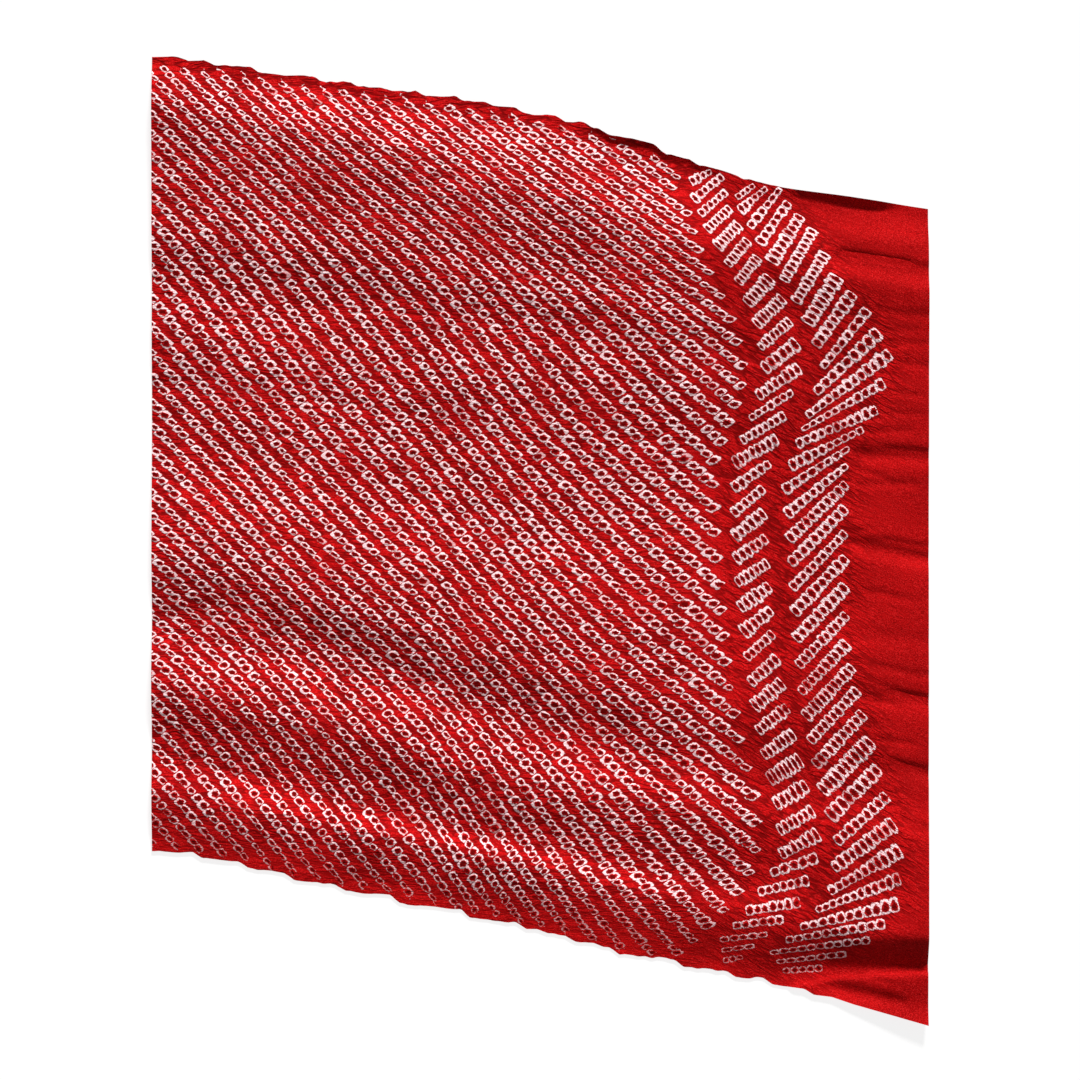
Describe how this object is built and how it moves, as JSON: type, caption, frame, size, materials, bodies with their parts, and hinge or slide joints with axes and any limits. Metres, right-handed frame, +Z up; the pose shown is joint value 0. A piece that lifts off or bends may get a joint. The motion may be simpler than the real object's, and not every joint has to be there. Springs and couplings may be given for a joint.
{
  "type": "shibori obiage, cut length",
  "caption": "Cut length of a red silk crepe obiage in kanoko shibori, lying in soft folds, with rows of small tied square dots, a stepped dot border and a plain crepe end.",
  "frame": {"origin": "middle of the base of the cloth's box, on the surface that it lies on", "axes": "+X along the cloth, from the dotted end to the plain end; +Y across it, towards the upper long edge; +Z up"},
  "size_m": [0.2724, 0.34, 0.0116],
  "materials": {
    "dyed_crepe": "soft silk crepe, dyed red, with undyed pale dots"
  },
  "bodies": {
    "root": {"silk_crepe_cloth": "dyed_crepe"}
  },
  "joints": []
}
